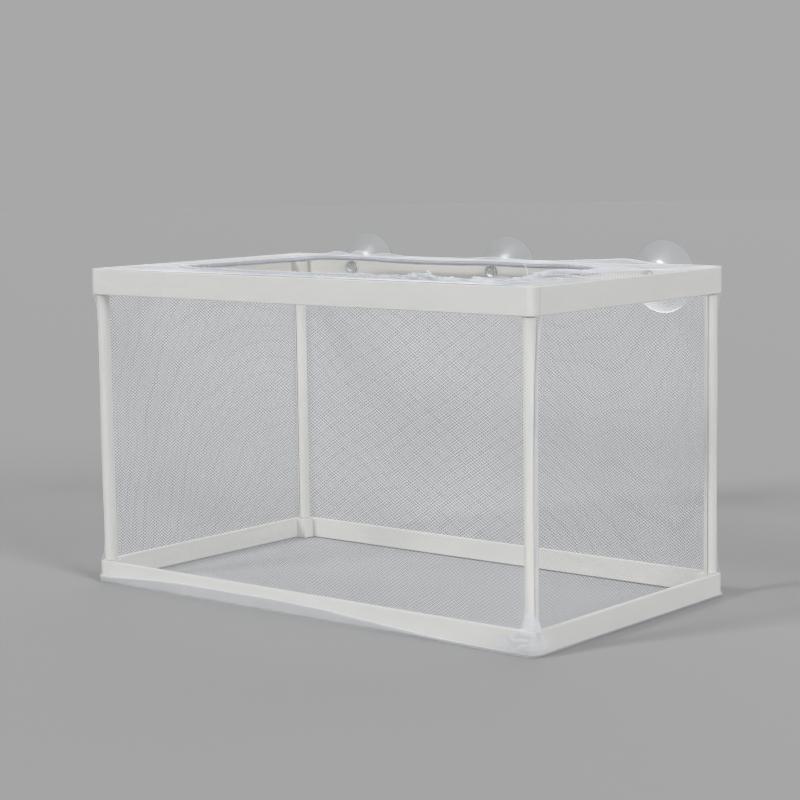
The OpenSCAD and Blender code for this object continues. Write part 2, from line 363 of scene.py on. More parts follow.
# %% [markdown]
# ## The collar
# From the rim the strip turns in and runs to the hem. It starts flat on the
# rails. Towards the hem it is gathered, so it rises into small pleats, most of
# all at the front right. Behind, the net has puffed up over the rail.

# %% Describe how the collar lies
PLEAT_LENGTH = 5.6 * MM
PLEAT_HEIGHT = 0.95 * MM
PLEAT_WAVE = 17 * MM
CORNER_PLEAT = 0.7 * MM
CORNER_PLEAT_REACH = 16 * MM
GATHER_MIDDLE = 115 * MM
GATHER_REACH = 60 * MM
GATHER_WAVE = 24 * MM
FOLD_HEIGHT = 2.6 * MM
FOLD_SLANT = 4 * MM
CREASES = [84, 95, 106, 126, 139, 146, 152, 160, 170, 178, 208]  # places round the bag, in mm
CREASES_START = 8  # mm over which the bulges grow at the first crease
CREASES_END = 10  # and die away at the last
PUFF_BAND = 0.35
PUFF_BAND_WIDE = 0.3
MOUND_BAND_WIDE = 0.28
PUFFS = [  # place along X behind, height, half width
    (-97 * MM, 2.0 * MM, 5 * MM),
    (-83 * MM, 2.8 * MM, 4 * MM),
    (-66 * MM, 1.8 * MM, 8 * MM),
    (3 * MM, 1.4 * MM, 14 * MM),
    (58 * MM, 1.3 * MM, 16 * MM),
    (81 * MM, 2.3 * MM, 14 * MM),
]
MOUNDS = [  # place round the bag, share of the way in, height, half width
    (92 * MM, 0.8, 0.6 * MM, 6 * MM),
    (134 * MM, 0.7, 0.9 * MM, 5 * MM),
    (150 * MM, 0.7, 0.7 * MM, 4 * MM),
    (190 * MM, 0.75, 1.6 * MM, 12 * MM),
    (222 * MM, 0.5, 2.4 * MM, 14 * MM),
]


def gathering(around):
    """How strongly the net is bunched here, from 0 to 1."""
    front_right = math.exp(-(((along_front(around) - GATHER_MIDDLE) / GATHER_REACH) ** 2))
    patchy = 0.5 + 0.5 * noise.noise((around / GATHER_WAVE, 2, 9))
    return min(1, 0.3 + 0.7 * front_right + 0.3 * patchy)


def bulging(around, level=0):
    """At the front right the bunched net bulges between tight creases: 1 on a bulge, 0 in a crease."""
    place = along_front(around) / MM
    for start, end in zip(CREASES, CREASES[1:]):
        if start <= place < end:
            bulge = math.sqrt(math.sin(math.pi * (place - start) / (end - start)))
            ends = ease((place - CREASES[0]) / CREASES_START) * ease((CREASES[-1] - place) / CREASES_END)
            size = 0.8 + 0.6 * noise.noise((start, 0.5, 0.5))
            return ends * size * (bulge - level)
    return 0


def puffed(around, place, share):
    """Height of the soft puffs behind and of the mounds at the front right."""
    total = 0
    if place.y > 0:
        band = math.exp(-(((share - PUFF_BAND) / PUFF_BAND_WIDE) ** 2)) * ease(share / 0.15)
        for x, height, spread in PUFFS:
            total += height * band * math.exp(-(((place.x - x) / spread) ** 2))
    for centre, inward, height, spread in MOUNDS:
        band = math.exp(-(((share - inward) / MOUND_BAND_WIDE) ** 2)) * ease(share / 0.2)
        total += height * band * math.exp(-(((along_front(around) - centre) / spread) ** 2))
    return total


def collar_point(around, inward):
    """The point of the collar this far round and this far in from the rim."""
    place, out = outline(around)
    place -= out * WALL_T / 2
    start = Vector((place.x, place.y, TOP))
    centre, mouth_out = mouth_point(around / PERIMETER)
    end = centre + mouth_out * HEM_R
    share = min(1, inward / (end - start).length)
    point = start.lerp(end, share)
    point.z = start.z + (end.z - start.z) * ease(1.2 * share - 0.2)
    phase = around / PLEAT_LENGTH + 1.3 * noise.noise((around / PLEAT_WAVE, 4, 2))
    pleat = 0.4 + math.sin(2 * math.pi * phase)
    folds = FOLD_HEIGHT * bulging(around - FOLD_SLANT * (1 - share), 0.5)
    point.z += ease(1.5 * share - 0.5) * PLEAT_HEIGHT * gathering(around) * pleat
    point.z += ease(2.5 * share - 0.4) * folds
    corner = math.exp(-((to_nearest(around, CORNERS) / CORNER_PLEAT_REACH) ** 2))
    point.z += CORNER_PLEAT * corner * math.sin(math.pi * share) * (0.6 + 0.6 * pleat)
    point.z += puffed(around, point, share)
    return point


def collar_width(around):
    start = collar_point(around, 0)
    centre, mouth_out = mouth_point(around / PERIMETER)
    return (centre + mouth_out * HEM_R - start).length


print("collar at the front:", round(collar_width(0) / MM, 1), "mm wide")

# %% [markdown]
# ## Knitting the net
# The net has diamond holes, wider than they are high. A grid of squares turned
# by 45 degrees and stretched is just that pattern, with one face for each hole.
# The grid is cut to its place and bent while it is still simple. Only then is
# each face inset by half a thread and its middle removed, so every thread keeps
# its thickness, also where the net is bent or gathered. Last, the middle line of
# each thread is raised a little, which makes it round enough to catch light. A
# face that is pinched in a tight fold can throw a corner far out, so any corner
# past the widest hole goes back to the middle and shuts that hole.
#
# The whole strip shares one pattern: the number of holes round the bag is a
# multiple of four, so the four walls meet hole to hole at the corners.

# %% Make the lattice tools
THREAD = 0.135 * MM
HOLE_HIGH = 1.5 * MM
HOLES_ROUND = 356
HOLE_WIDE = PERIMETER / HOLES_ROUND
THREAD_RISE = 0.04 * MM
WIDEST_HOLE = 0.6 * HOLE_WIDE
MERGE = 0.02 * MM


def diamonds(wide, high, middle=(0, 0)):
    """A flat grid of diamond faces, at least this wide and high, about a middle."""
    steps = 2 * math.ceil((wide / HOLE_WIDE + high / HOLE_HIGH) / 2 + 1)
    bm = bmesh.new()
    bmesh.ops.create_grid(bm, x_segments=steps, y_segments=steps, size=steps / 2)
    bmesh.ops.rotate(bm, verts=bm.verts, matrix=Matrix.Rotation(math.pi / 4, 3, "Z"))
    scale = (HOLE_WIDE / math.sqrt(2), HOLE_HIGH / math.sqrt(2), 1)
    bmesh.ops.scale(bm, verts=bm.verts, vec=scale)
    bmesh.ops.translate(bm, verts=bm.verts, vec=(middle[0], middle[1], 0))
    return bm


def keep_where(bm, wanted):
    """Keeps the faces whose middle is wanted."""
    extra = [f for f in bm.faces if not wanted(f.calc_center_median())]
    bmesh.ops.delete(bm, geom=extra, context="FACES")


def trim_below(bm, level):
    """Cuts away what lies below this level of the flat grid."""
    geom = bm.verts[:] + bm.edges[:] + bm.faces[:]
    bmesh.ops.bisect_plane(
        bm, geom=geom, dist=1e-7, plane_co=(0, level, 0), plane_no=(0, -1, 0), clear_outer=True
    )


def open_holes(bm, thread=THREAD, even=True, widest=WIDEST_HOLE):
    """Turns each face into a hole with half a thread on every side, and counts them."""
    crossings = bm.verts[:]
    holes = bm.faces[:]
    centres = [face.calc_center_median() for face in holes]
    bm.normal_update()
    bmesh.ops.inset_individual(bm, faces=holes, thickness=thread / 2, use_even_offset=even)
    for hole, centre in zip(holes, centres):
        for vert in hole.verts:
            if (vert.co - centre).length > widest:
                vert.co = centre
    bmesh.ops.delete(bm, geom=holes, context="FACES_ONLY")
    bm.normal_update()
    for vert in crossings:
        vert.co += vert.normal * THREAD_RISE
    return len(holes)


def finish_mesh(bm, name, smooth=True):
    """Makes an object of a finished mesh."""
    mesh = bpy.data.meshes.new(name)
    bm.to_mesh(mesh)
    bm.free()
    for polygon in mesh.polygons:
        polygon.use_smooth = smooth
    piece = bpy.data.objects.new(name, mesh)
    bpy.context.scene.collection.objects.link(piece)
    return piece


def add_layer(pile, bm):
    """Moves a finished layer of net onto a pile of layers."""
    layer = bpy.data.meshes.new("layer")
    bm.to_mesh(layer)
    bm.free()
    pile.from_mesh(layer)
    bpy.data.meshes.remove(layer)


print("hole:", round(HOLE_WIDE / MM, 2), "by", round(HOLE_HIGH / MM, 2), "mm")

# %% [markdown]
# ## The four walls
# Each wall takes its share of the strip, from corner to corner, and is bent
# into place. It stands for the plain panel that the checks use. It stands in for a
# plain panel of the ready made parts, which is hidden. Where a cup's neck passes
# through the back wall, the threads are pushed aside.

# %% Hang the walls
ROWS = round(TOP / HOLE_HIGH)
WALL_START = 0.1 * MM
NECK_ROOM = 3.1 * MM
NECK_REACH = 6 * MM
NECK_HOLE = 1.5 * NECK_ROOM
necks = []
for side in ("left", "middle", "right"):
    cup_low, cup_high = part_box("suction_cup_" + side)
    necks.append(Vector((HALF_TURN - (cup_low.x + cup_high.x) / 2, (cup_low.z + cup_high.z) / 2)))


def parted(around, high):
    """Near a neck each place in the net moves away from its axis."""
    for neck in necks:
        away = Vector((around, high)) - neck
        if away.length < NECK_REACH:
            return neck + away.normalized() * (NECK_ROOM + away.length * (1 - NECK_ROOM / NECK_REACH))
    return around, high


def hang_wall(side, middle, half_run):
    """One wall, this far round the bag in its middle."""
    pattern_middle = (round(middle / HOLE_WIDE * 2) * HOLE_WIDE / 2, ROWS // 2 * HOLE_HIGH)
    bm = diamonds(2 * half_run, TOP, pattern_middle)
    keep_where(bm, lambda c: abs(c.x - middle) < half_run and 0 < c.y < TOP)
    trim_below(bm, WALL_START)
    for vert in bm.verts:
        around, high = vert.co.x, vert.co.y
        if high <= TOP:
            vert.co = wall_point(*parted(*wandered(around, high)))
        else:
            vert.co = collar_point(around, high - TOP)
    holes = open_holes(bm, widest=NECK_HOLE)
    piece = finish_mesh(bm, "bag_wall_" + side)
    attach(piece, "frame")
    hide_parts("net_wall_" + side)
    print("wall", side, "has", holes, "holes")
    return piece


long_run = CORNER_FRONT_RIGHT
short_run = PERIMETER / 4 - CORNER_FRONT_RIGHT
walls = [
    hang_wall("front", 0, long_run),
    hang_wall("right", PERIMETER / 4, short_run),
    hang_wall("back", HALF_TURN, long_run),
    hang_wall("left", 3 * PERIMETER / 4, short_run),
]

# %% [markdown]
# ## The floor
# The floor is a second piece of the same net, cut to the plan of the bag. It
# lies on the table, with a little slack that lifts it here and there.

# %% Lay the floor
FLOOR_LOW = 0.12 * MM
FLOOR_INSET = 0.3 * MM
FLOOR_SLACK = 0.35 * MM
FLOOR_WAVE = 34 * MM
FLOOR_FLAT_EDGE = 20 * MM


def inside_plan(x, y):
    past_x = max(0, abs(x) - STRAIGHT_X)
    past_y = max(0, abs(y) - STRAIGHT_Y)
    return math.hypot(past_x, past_y) < ROUND - FLOOR_INSET


bm = diamonds(2 * HALF_L, 2 * HALF_W)
keep_where(bm, lambda c: inside_plan(c.x, c.y))
for vert in bm.verts:
    edge = min(HALF_L - abs(vert.co.x), HALF_W - abs(vert.co.y))
    wave = 0.5 + noise.noise((vert.co.x / FLOOR_WAVE, vert.co.y / FLOOR_WAVE, 11))
    vert.co.z = FLOOR_LOW + FLOOR_SLACK * max(0, wave) * ease(edge / FLOOR_FLAT_EDGE)
print("the floor has", open_holes(bm), "holes")
bag_floor = finish_mesh(bm, "bag_floor")
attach(bag_floor, "frame")
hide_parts("net_floor")

# %% [markdown]
# ## The collar and the hem
# The collar goes on with the holes of the walls where they stop, and ends at
# the casing. The casing is the same net again, folded round the elastic, so it
# is knitted flat as a long band and rolled up. Its cut edge is folded in on the
# outer side, which makes a second layer there.

# %% Turn the collar in
collar_reach = max(collar_width(corner) for corner in CORNERS) + HOLE_HIGH
bm = diamonds(PERIMETER, collar_reach, (0, ROWS // 2 * 2 * HOLE_HIGH))
keep_where(
    bm,
    lambda c: abs(c.x) <= HALF_TURN and TOP <= c.y and c.y - TOP < collar_width(c.x) + 0.3 * HOLE_HIGH,
)
collar_flat = sum(f.calc_area() for f in bm.faces)
for vert in bm.verts:
    around, high = vert.co.x, vert.co.y
    vert.co = wall_point(around, high) if high < TOP else collar_point(around, high - TOP)
bmesh.ops.remove_doubles(bm, verts=bm.verts, dist=MERGE)
print("the collar has", open_holes(bm), "holes, and is cut from", round(collar_flat * 1e4), "cm2 of net")
collar = finish_mesh(bm, "bag_collar")
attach(collar, "frame")
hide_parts("net_collar")

# %% Roll the casing
HEM_ROUND = 2 * math.pi * HEM_R
RIB_LENGTH = 4.3 * MM
RIB_HEIGHT = 0.16 * MM
LUMP = 0.8 * MM
LUMP_WAVE = 5 * MM
CASING_LAYERS = [  # from and to, as shares of the way round, aside, and off the outer layer
    (-0.5, 0.5, 0, 0),
    (-0.2, 0.3, HOLE_WIDE / 2, -0.16 * MM),
]


def casing_point(around, turn_run, off=0):
    """A point of the casing: turn_run is how far round the elastic."""
    centre, out = mouth_point(around / PERIMETER)
    turn = turn_run / HEM_R
    bunch = gathering(around)
    rib = RIB_HEIGHT * math.sin(2 * math.pi * around / RIB_LENGTH) * (0.4 + bunch)
    lump = LUMP * bunch * noise.noise((around / LUMP_WAVE, 0.7 * math.sin(turn), 6))
    radius = HEM_R * (0.94 + 0.12 * bunch) + rib + lump + off
    return centre + (out * math.cos(turn) + Vector((0, 0, math.sin(turn)))) * radius


band = round(HEM_ROUND / HOLE_HIGH) * HOLE_HIGH
casing_layers = bmesh.new()
for low, high, aside, off in CASING_LAYERS:
    bm = diamonds(PERIMETER, band)
    keep_where(bm, lambda c: abs(c.x) <= HALF_TURN and low < c.y / band < high)
    for vert in bm.verts:
        vert.co = casing_point(vert.co.x + aside, vert.co.y * HEM_ROUND / band, off)
    bmesh.ops.remove_doubles(bm, verts=bm.verts, dist=MERGE)
    print("a layer of the casing has", open_holes(bm), "holes")
    add_layer(casing_layers, bm)
casing = finish_mesh(casing_layers, "hem_casing")
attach(casing, "frame")

# %% [markdown]
# ## The ruffles
# At the front right there is more net than room. The spare length has worked its
# way out over the hem, where it lies as a row of small puffs with tight creases
# between them. It is a doubled strip, packed so closely that its holes nearly
# shut, and laid over the outer side of the casing. Every thread gets a joint in
# its middle, so it can follow such small folds.

# %% Lay the ruffles
FRILL_START = 84 * MM
FRILL_END = 252 * MM
FRILL_WIDE = 7 * MM
FRILL_CLOTH = 1.6
FRILL_THREAD = 0.31 * MM
FRILL_INNER = 2.1  # where the strip starts and ends round the casing, as angles
FRILL_OUTER = -0.7
FRILL_PUFF = 2.7 * MM
FRILL_SLANT = 2 * MM
FRILL_LAYER = 0.15 * MM
FRILL_ROUGH = 0.25 * MM
FRILL_WAVE = 2.2 * MM


def frill_point(run, across, layer):
    """The point of the ruffles this far along the strip and across it."""
    around = FRILL_START + run / FRILL_CLOTH
    share = across / FRILL_WIDE
    turn = FRILL_INNER + (FRILL_OUTER - FRILL_INNER) * share
    puff = bulging(around - FRILL_SLANT * share, 0.15) * math.sin(math.pi * share**1.3)
    rough = noise.noise((around / FRILL_WAVE, across / FRILL_WAVE, layer))
    off = FRILL_PUFF * puff + FRILL_LAYER * layer + FRILL_ROUGH * rough
    return casing_point(around, turn * HEM_R, off)


frill_run = (FRILL_END - FRILL_START) * FRILL_CLOTH
frills = bmesh.new()
for layer in (0, 1):
    bm = diamonds(frill_run, FRILL_WIDE, (frill_run / 2, (0.5 + 0.12 * layer) * FRILL_WIDE))
    keep_where(bm, lambda c: 0 < c.x < frill_run and 0 < c.y < FRILL_WIDE)
    bmesh.ops.subdivide_edges(bm, edges=bm.edges, cuts=1, use_grid_fill=False)
    for vert in bm.verts:
        vert.co = frill_point(vert.co.x, min(FRILL_WIDE, max(0, vert.co.y)), layer)
    open_holes(bm, FRILL_THREAD, even=False)
    add_layer(frills, bm)
frill = finish_mesh(frills, "hem_frill")
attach(frill, "frame")
print("ruffles:", len(frill.data.polygons), "faces")

# %% [markdown]
# ## The elastic
# The elastic is a round rubber core in a woven cover. Its own path is the
# middle of the casing, so a ring is swept along it, a little slimmer than the
# ready made one because it is stretched.


# %% Make a ring from a closed path
def ring_tube(points, radius, sides):
    """Circles of vertices round the points, bridged into a closed tube."""
    bm = bmesh.new()
    circles = []
    for i, place in enumerate(points):
        ahead = (points[(i + 1) % len(points)] - points[i - 1]).normalized()
        turn = ahead.to_track_quat("Z", "Y").to_matrix().to_4x4()
        circle = bmesh.ops.create_circle(
            bm, segments=sides, radius=radius, matrix=Matrix.Translation(place) @ turn
        )
        circles.append(circle["verts"])
    for circle, following in zip(circles, circles[1:] + circles[:1]):
        for j in range(sides):
            k = (j + 1) % sides
            bm.faces.new((circle[j], circle[k], following[k], following[j]))
    bmesh.ops.recalc_face_normals(bm, faces=bm.faces)
    return bm


ELASTIC_RINGS = 480
ELASTIC_SIDES = 10
STRETCHED = 0.8
elastic_path = [mouth_point(i / ELASTIC_RINGS)[0] for i in range(ELASTIC_RINGS)]
elastic = finish_mesh(ring_tube(elastic_path, STRETCHED * ELASTIC_R, ELASTIC_SIDES), "hem_elastic")
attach(elastic, "frame")
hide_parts("elastic_cord")
print("elastic:", len(elastic.data.polygons), "faces")

# %% [markdown]
# ## Sewing thread
# The seams are overlocked: a thread winds round the cut edges like a spring and
# a second one runs along it. Each is drawn as a curve with a round bevel,
# because a curve keeps its thickness along any path, and is then made a mesh.
# Two helpers make the points of the winding and of the running thread, from the
# middle of the seam and its two directions, outwards and across.

# %% Make the sewing helpers
TURN_POINTS = 8
RUNNING_POINTS = 4
RUNNING_RISE = 0.12 * MM
LOOSENESS = 0.22


def sew(name, lines, radius):
    """Round thread of this radius along each line of points."""
    data = bpy.data.curves.new(name, "CURVE")
    data.dimensions = "3D"
    data.bevel_depth = radius
    data.bevel_resolution = 0
    data.use_fill_caps = True
    for points in lines:
        spline = data.splines.new("POLY")
        spline.points.add(len(points) - 1)
        for point, place in zip(spline.points, points):
            point.co = (*place, 1)
        spline.use_smooth = True
    curve = bpy.data.objects.new(name, data)
    bpy.context.scene.collection.objects.link(curve)
    seen = curve.evaluated_get(bpy.context.evaluated_depsgraph_get())
    mesh = bpy.data.meshes.new_from_object(seen)
    bpy.data.objects.remove(curve)
    mesh.name = name
    piece = bpy.data.objects.new(name, mesh)
    bpy.context.scene.collection.objects.link(piece)
    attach(piece, "frame")
    return piece


def winding(seam, length, pitch, wide, thick):
    """Points of a thread wound round a seam. seam gives its middle, out and across."""
    points = []
    for i in range(round(length / pitch) * TURN_POINTS + 1):
        run = i * pitch / TURN_POINTS
        middle, out, across = seam(run)
        turn = 2 * math.pi * i / TURN_POINTS
        loose = 1 + LOOSENESS * noise.noise((run / pitch, 5, 5))
        side = across * (wide / 2 * math.cos(turn) * loose)
        points.append(middle + side + out * (thick * (0.5 + 0.5 * math.sin(turn)) * loose))
    return points


def running(seam, length, pitch, aside, off):
    """Points of a thread along a seam, rising over each stitch."""
    points = []
    for i in range(round(length / pitch) * RUNNING_POINTS + 1):
        middle, out, across = seam(i * pitch / RUNNING_POINTS)
        rise = RUNNING_RISE * math.cos(i * math.pi / 2)
        points.append(middle + across * aside + out * (off + rise))
    return points


# %% [markdown]
# ## The floor seam
# The floor is sewn to the walls all round. The seam should lie along the bottom
# edge, but on the front it has crept up over the rail, where it shows as a wavy
# ridge. Its path is the same function that lifts the wall there. Below the
# ridge lies the turned-up edge of the floor, bunched and in several layers.

# %% Sew the floor in
FLOOR_PITCH = 1.45 * MM
FLOOR_SEAM_WIDE = 1.1 * MM
FLOOR_SEAM_THICK = 0.4 * MM
FLOOR_SEAM_OFF = 0.15 * MM
FLOOR_THREAD_R = 0.14 * MM
EDGE_MIDDLE = -35 * MM
EDGE_LENGTH = 330 * MM
EDGE_HIGH = 8 * MM
EDGE_START = 0.2 * MM
EDGE_LOW = 0.15 * MM
EDGE_LAYER = 0.12 * MM
EDGE_SHIFT = (0.8 * MM, 0.5 * MM)  # between the patterns of two layers
EDGE_GATHER = 0.7
UP = Vector((0, 0, 1))


def floor_seam(run):
    """Middle, out and across of the floor seam."""
    around = run - HALF_TURN
    out = outline(around)[1].to_3d()
    return wall_point(around, seam_height(around), FLOOR_SEAM_OFF), out, UP


floor_winding = sew("floor_seam_overlock", [
    winding(floor_seam, PERIMETER, FLOOR_PITCH, FLOOR_SEAM_WIDE, FLOOR_SEAM_THICK),
    running(floor_seam, PERIMETER, FLOOR_PITCH, 0.5 * FLOOR_SEAM_WIDE, FLOOR_SEAM_OFF),
], FLOOR_THREAD_R)
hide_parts("floor_seam")

turned_up = bmesh.new()
for layer in (1, 2, 3):
    bm = diamonds(EDGE_LENGTH / EDGE_GATHER, EDGE_HIGH, [layer * shift for shift in EDGE_SHIFT])
    bmesh.ops.scale(bm, verts=bm.verts, vec=(EDGE_GATHER, 1, 1))
    bmesh.ops.translate(bm, verts=bm.verts, vec=(EDGE_MIDDLE, 0, 0))
    keep_where(
        bm,
        lambda c: abs(c.x - EDGE_MIDDLE) < EDGE_LENGTH / 2 and EDGE_START < c.y < seam_height(c.x),
    )
    for vert in bm.verts:
        high = min(max(EDGE_LOW, vert.co.y), seam_height(vert.co.x))
        vert.co = wall_point(vert.co.x, high, layer * EDGE_LAYER)
    open_holes(bm, even=False)
    add_layer(turned_up, bm)
floor_edge = finish_mesh(turned_up, "floor_seam_edge")
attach(floor_edge, "frame")
print("floor seam:", round(PERIMETER / FLOOR_PITCH), "stitches")

# %% [markdown]
# ## The corner seam
# The wall strip is closed by one upright seam, just past the front right post.
# The cut edges are rolled up under the stitches, so the net is dense there. On
# the rim the seam is pulled flat. At its foot it ends in a bunch of net that
# lies over the corner and is creased. The bunch is made of two ragged patches,
# in two layers each.

# %% Close the strip
CORNER_PITCH = 1.15 * MM
CORNER_SEAM_WIDE = 1.5 * MM
CORNER_SEAM_THICK = 0.5 * MM
CORNER_SEAM_OFF = 0.1 * MM
CORNER_RUNNING_OFF = 0.2 * MM
CORNER_THREAD_R = 0.12 * MM
SEAM_LEAN = 2.2 * MM
SEAM_LEAN_HIGH = 70 * MM
SEAM_START = CORNER_FRONT_RIGHT + ARC / 2 - 0.3 * MM
SEAM_WANDER = 0.35 * MM
SEAM_WANDER_WAVE = 18 * MM
SEAM_FOOT = 9 * MM
SEAM_FLAT = 0.65
FLAT_BELOW_RIM = 2 * MM
FLAT_EASE = 3 * MM
ALLOWANCE_WIDE = 2.4 * MM
ALLOWANCE_SHIFT = 0.4 * MM
ALLOWANCE_LAYER = 0.12 * MM
BUNCH_THREAD = 0.2 * MM
BUNCH_SPAN = (50 * MM, 24 * MM)
BUNCH_MIDDLE = (-8 * MM, 10 * MM)
BUNCH_SHIFT = 0.7 * MM
BUNCH_GATHER = (0.75, 0.85, 1)
BUNCH_RAGGED = 2.5 * MM
BUNCH_OFF = 0.1 * MM
BUNCH_LAYER = 0.14 * MM
BUNCH_ROUGH = 0.2 * MM
BUNCH_WAVE = 2 * MM
BUNCH_START = 0.5 * MM
BUNCH_LOW = 0.3 * MM
BUNCHES = [  # place from the corner and height of the middle, half width, half height
    (-1.5 * MM, 12.5 * MM, 4 * MM, 6 * MM),
    (-5.5 * MM, 6 * MM, 11 * MM, 4 * MM),
]


def corner_seam_around(high):
    """How far round the bag the corner seam is at this height."""
    wander = SEAM_WANDER * noise.noise((high / SEAM_WANDER_WAVE, 6, 1))
    return SEAM_START + SEAM_LEAN * ease(1 - (TOP - high) / SEAM_LEAN_HIGH) + wander


def corner_seam(run):
    """Middle, out and across of the corner seam. The last two shrink where it is flat."""
    high = min(TOP, SEAM_FOOT + run)
    around = corner_seam_around(high)
    out = outline(around)[1].to_3d()
    full = 1 - SEAM_FLAT * ease((high - RIM_LOW + FLAT_BELOW_RIM) / FLAT_EASE)
    return wall_point(around, high, CORNER_SEAM_OFF), out * full, UP.cross(out) * full


corner_length = TOP - SEAM_FOOT
corner_winding = sew("corner_seam_overlock", [
    winding(corner_seam, RIM_LOW - SEAM_FOOT, CORNER_PITCH, CORNER_SEAM_WIDE, CORNER_SEAM_THICK),
    running(corner_seam, corner_length, CORNER_PITCH, 0.5 * CORNER_SEAM_WIDE, CORNER_RUNNING_OFF),
], CORNER_THREAD_R)
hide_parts("corner_seam")


def in_bunch(place):
    """Whether a place, from the corner and from the table, lies in a ragged patch."""
    for aside, height, half_width, half_height in BUNCHES:
        ragged = 0.5 * noise.noise((place.x / BUNCH_RAGGED, place.y / BUNCH_RAGGED, 9))
        reach = math.hypot((place.x - aside) / half_width, (place.y - height) / half_height)
        if reach + ragged < 1 and place.y > BUNCH_START:
            return True
    return False


layers = bmesh.new()
for layer in (1, 2, 3):
    bm = diamonds(ALLOWANCE_WIDE, RIM_LOW, (layer * ALLOWANCE_SHIFT, RIM_LOW / 2))
    keep_where(bm, lambda c: abs(c.x) < ALLOWANCE_WIDE / 2 and SEAM_FOOT < c.y < RIM_LOW)
    for vert in bm.verts:
        around = corner_seam_around(vert.co.y) + 0.5 * vert.co.x
        vert.co = wall_point(around, vert.co.y, layer * ALLOWANCE_LAYER)
    open_holes(bm)
    add_layer(layers, bm)
for layer in (1, 2):
    bm = diamonds(*BUNCH_SPAN, (BUNCH_MIDDLE[0] + layer * BUNCH_SHIFT, BUNCH_MIDDLE[1]))
    bmesh.ops.scale(bm, verts=bm.verts, vec=BUNCH_GATHER)
    keep_where(bm, in_bunch)
    bmesh.ops.subdivide_edges(bm, edges=bm.edges, cuts=1, use_grid_fill=False)
    for vert in bm.verts:
        rough = noise.noise((vert.co.x / BUNCH_WAVE, vert.co.y / BUNCH_WAVE, layer))
        around, high = CORNER_FRONT_RIGHT + vert.co.x, max(BUNCH_LOW, vert.co.y)
        off = BUNCH_OFF + BUNCH_LAYER * layer + BUNCH_ROUGH * rough + 0.5 * crumpled(around, high)
        vert.co = wall_point(around, high, off)
    open_holes(bm, BUNCH_THREAD, even=False)
    add_layer(layers, bm)
corner_fold = finish_mesh(layers, "corner_seam_allowance")
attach(corner_fold, "frame")
print("corner seam:", round(corner_length / CORNER_PITCH), "stitches")

# %% [markdown]
# ## Stitches of the hem
# The hem is closed by the same overlock. It winds once round the casing for each
# stitch, which gives the hem its fine regular ribs.

# %% Sew the hem
HEM_PITCH = 1.75 * MM
HEM_STITCHES = round(MOUTH_LENGTH / HEM_PITCH)
HEM_STITCH_GAP = 0.1 * MM
HEM_THREAD_R = 0.13 * MM
END_THREAD_R = 0.2 * MM
END_POINTS = 9
TUFT_PLACE = 100 * MM
TUFT_PITCH = 0.5 * MM
TUFT_STRANDS = 7
TUFT_LENGTH = 3 * MM
TUFT_UNEVEN = 1.6 * MM
LOOSE_END_PLACE = 168 * MM
LOOSE_END_LEAN = (-0.1, -0.2)
LOOSE_END_LENGTH = 9 * MM


def hem_winding():
    """Points of the thread that winds round the casing."""
    points = []
    for i in range(HEM_STITCHES * TURN_POINTS):
        around = i / (HEM_STITCHES * TURN_POINTS) * PERIMETER
        points.append(casing_point(around, HEM_ROUND * i / TURN_POINTS, HEM_STITCH_GAP))
    return points


def thread_end(around, turn_run, lean, length):
    """A loose end that leaves the hem and bends over."""
    root = casing_point(around, turn_run)
    _, out = mouth_point(around / PERIMETER)
    side = UP.cross(out)
    points = []
    for i in range(END_POINTS):
        share = i / (END_POINTS - 1)
        bend = out * (lean[0] * share**2) + side * (lean[1] * share**2)
        points.append(root + (UP * (share - 0.35 * share**2) + bend) * length)
    return points


tuft = [
    thread_end(
        TUFT_PLACE + TUFT_PITCH * i, HEM_R * 1.4,
        (noise.noise((i, 0.5, 1)) * 1.2, noise.noise((i, 0.5, 4)) * 1.6),
        TUFT_LENGTH + TUFT_UNEVEN * noise.noise((i, 0.5, 7)),
    )
    for i in range(TUFT_STRANDS)
]
hem_stitches = sew("hem_overlock", [hem_winding()], HEM_THREAD_R)
loose_end = thread_end(LOOSE_END_PLACE, HEM_R * 1.5, LOOSE_END_LEAN, LOOSE_END_LENGTH)
hem_ends = sew("hem_thread_ends", [*tuft, loose_end], END_THREAD_R)
print("hem:", HEM_STITCHES, "stitches")

# %% [markdown]
# ## The stage and the light
# A plain pale table runs out to a plain pale room of the same shade, so no
# horizon shows. Two broad soft lights stand at the front and a weaker one
# behind. The room gives the shadows their light, and it has a second, plain
# colour that only the eye sees, directly or in glossy and clear parts.
#
# The room and all the finishes are made of shader nodes, so a helper comes first.


# %% Make a node helper
def add(tree, kind, settings=(), values=(), **feeds):
    """A node with its settings, plain values and incoming links. i1 feeds input 1."""
    node = tree.nodes.new("ShaderNode" + kind)
    for name, value in settings:
        setattr(node, name, value)
    for name, value in values:
        node.inputs[name].default_value = value
    for name, source in feeds.items():
        key = int(name[1:]) if name[1:].isdigit() else name
        tree.links.new(source, node.inputs[key])
    return node


# %% Set the stage
STAGE_SIZE = 6
TABLE_GREY = 0.42
ROOM_GREY = 0.39
ROOM_TINT = (0.98, 0.985, 1, 1)
ROOM_LIGHT = 0.26
bm = bmesh.new()
bmesh.ops.create_circle(bm, cap_ends=True, segments=64, radius=STAGE_SIZE)
table_top = finish_mesh(bm, "table_top", smooth=False)


def soft_light(name, towards_right, high, strength, softness):
    """A sun this many degrees right of the front and above the table, and this many wide."""
    light = bpy.data.lights.new(name, "SUN")
    light.energy = strength
    light.angle = math.radians(softness)
    lamp = bpy.data.objects.new(name, light)
    turn = Matrix.Rotation(math.radians(towards_right), 4, "Z")
    lamp.matrix_world = turn @ Matrix.Rotation(math.radians(90 - high), 4, "X")
    bpy.context.scene.collection.objects.link(lamp)


soft_light("key_light", -22, 28, 1.75, 12)
soft_light("fill_light", 76, 24, 1.75, 20)
soft_light("back_light", 195, 30, 0.9, 70)

